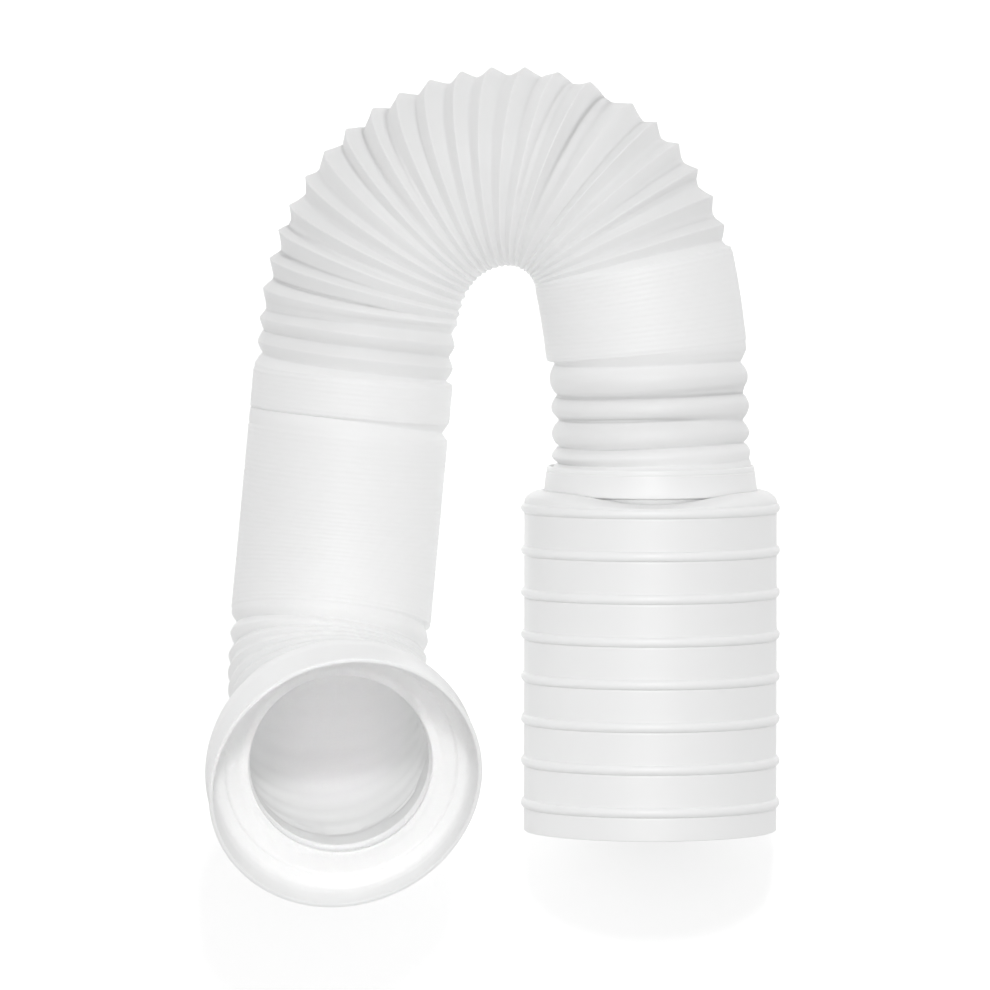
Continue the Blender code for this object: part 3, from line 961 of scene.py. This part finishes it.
def make_flange():
    inside = BAND - RIM_THICKNESS
    corners = [
        (THROAT, 0.0, 0.8 * MM),
        (THROAT + 4.5 * MM, 1.0 * MM, 1.5 * MM),
        (STEP - 1.6 * MM, STEP_HEIGHT - 2.2 * MM, 1.2 * MM),
        (STEP - 0.6 * MM, STEP_HEIGHT - 0.6 * MM, 0.5 * MM),
        (inside - 1.5 * MM, STEP_HEIGHT + 1.6 * MM, 2.5 * MM),
        (inside, STEP_HEIGHT + 7.0 * MM, 3.0 * MM),
        (RIM - RIM_THICKNESS, CUP_DEPTH, 0.9 * MM),
        (RIM, CUP_DEPTH, 1.5 * MM),
        (RIM - 0.2 * MM, CUP_DEPTH - 4.0 * MM, 1.6 * MM),
        (BAND - 0.4 * MM, STEP_HEIGHT + 4.5 * MM, 1.6 * MM),
        (BAND + 0.8 * MM, STEP_HEIGHT + 1.6 * MM, 1.2 * MM),
        (BAND + 0.3 * MM, STEP_HEIGHT - 1.0 * MM, 1.4 * MM),
        (STEP, STEP_HEIGHT - FLANGE_WALL, 1.0 * MM),
        (FITTING_BORE + FLANGE_WALL, -FLANGE_WALL, 2.6 * MM),
        (FITTING_BORE + FLANGE_WALL, -SLEEVE_LENGTH, 0.6 * MM),
        (FITTING_BORE, -SLEEVE_LENGTH, 0.3 * MM),
        (FITTING_BORE, -FLANGE_WALL, 0.0),
        (THROAT, -FLANGE_WALL, 0.4 * MM),
    ]
    section = rounded_section(corners, steps=7)
    return turned_ring("flared_cup", section, FLANGE_AXIS, fitting_plastic, flange_warp)


flange = make_flange()

# %% [markdown]
# ## Floor and light
# The photograph is a catalogue picture on white. The main light stands beyond the bend and is
# small enough to leave a clear shadow inside the top of the flange. A wide soft light overhead
# and a white surround keep every other shadow pale. A third, narrow light straight above the
# flange brightens the inside of its throat, where the other two hardly reach.
#
# The floor glows a little, so that it is as white as the photograph's. It glows more to the
# camera than to the hose, because otherwise its light would flatten the folds.

# %% Lay the floor
FLOOR_REACH = 4.0
GLOW_ON_THE_HOSE = 0.2
GLOW_TO_THE_CAMERA = 0.36

corner_signs = (-1, -1), (1, -1), (1, 1), (-1, 1)
floor_corners = [(x * FLOOR_REACH, y * FLOOR_REACH, 0.0) for x, y in corner_signs]
floor_mesh = bpy.data.meshes.new("floor")
floor_mesh.from_pydata(floor_corners, [], [(0, 1, 2, 3)])
floor = bpy.data.objects.new("floor", floor_mesh)
bpy.context.collection.objects.link(floor)
floor_material = bpy.data.materials.new("white_paper")
floor_material.use_nodes = True
floor_shader = floor_material.node_tree.nodes["Principled BSDF"]
floor_shader.inputs["Base Color"].default_value = (0.97, 0.97, 0.97, 1.0)
floor_shader.inputs["Roughness"].default_value = 0.9
floor_shader.inputs["Specular IOR Level"].default_value = 0.1
floor_shader.inputs["Emission Color"].default_value = (1.0, 1.0, 1.0, 1.0)
seen = floor_material.node_tree.nodes.new("ShaderNodeLightPath")
glow = floor_material.node_tree.nodes.new("ShaderNodeMapRange")
glow.inputs["To Min"].default_value = GLOW_ON_THE_HOSE
glow.inputs["To Max"].default_value = GLOW_TO_THE_CAMERA
floor_material.node_tree.links.new(seen.outputs["Is Camera Ray"], glow.inputs["Value"])
floor_material.node_tree.links.new(glow.outputs["Result"], floor_shader.inputs["Emission Strength"])
floor_mesh.materials.append(floor_material)
floor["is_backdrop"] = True
print(f"floor: {2 * FLOOR_REACH:.0f} m square")


# %% Set the lights
def area_light(name, place, target, size, power, spread=180.0):
    """A square light at this place, aimed at the target. A spread below 180 degrees narrows it."""
    light = bpy.data.lights.new(name, "AREA")
    light.size = size
    light.energy = power
    light.spread = math.radians(spread)
    lamp = bpy.data.objects.new(name, light)
    lamp.location = place
    lamp.rotation_euler = (Vector(target) - Vector(place)).to_track_quat("-Z", "Y").to_euler()
    lamp.visible_camera = False
    bpy.context.collection.objects.link(lamp)
    print(f"{name}: {size} m, {power} W")


area_light("key_light", (0.07, 0.85, 2.05), AIM, 0.25, 13.8)
area_light("overhead_light", (0.0, -0.1, 1.5), AIM, 1.0, 3.8)
throat = FLANGE_AXIS.middle
above_throat = throat + np.array((0.0, 0.0, 1.3))
area_light("throat_light", above_throat, throat, 0.05, 0.0074, spread=7.0)

# %% [markdown]
# White plastic throws back nearly all the light that reaches it, so light goes from fold to fold
# many times before it is spent. With few bounces the folds and the throat come out far too dark,
# so the scene allows more of them than usual.

# %% Set the surround and the bounces
world = bpy.data.worlds.new("white_surround")
world.use_nodes = True
world.node_tree.nodes["Background"].inputs["Color"].default_value = (1.0, 1.0, 1.0, 1.0)
world.node_tree.nodes["Background"].inputs["Strength"].default_value = 0.47
scene = bpy.context.scene
scene.world = world
scene.view_settings.view_transform = "Standard"
scene.cycles.max_bounces = 16
scene.cycles.diffuse_bounces = 12
print(f"bounces: {scene.cycles.max_bounces} in all, {scene.cycles.diffuse_bounces} diffuse")

# %% [markdown]
# ## Tie each piece to the body
# Nothing on this object moves, so every piece rides on the one body. Each piece stands for the
# solid it replaces, and that solid is hidden.

# %% Tie the pieces to the frame
for piece, node, slot in (
    (hose, "hose", "hose_plastic"),
    (cuff, "hose_cuff", "fitting_plastic"),
    (collar, "ribbed_collar", "fitting_plastic"),
    (flange, "flared_flange", "fitting_plastic"),
):
    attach(piece, "root")
    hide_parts(node)
    print(f"{piece.name} stands for {node}")

# %% Measure the dressed pieces against the solid
low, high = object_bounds()
for name, cad, made in zip("xyz", cad_high - cad_low, high - low):
    print(f"{name}: solid {cad / MM:.1f} mm, dressed {made / MM:.1f} mm")
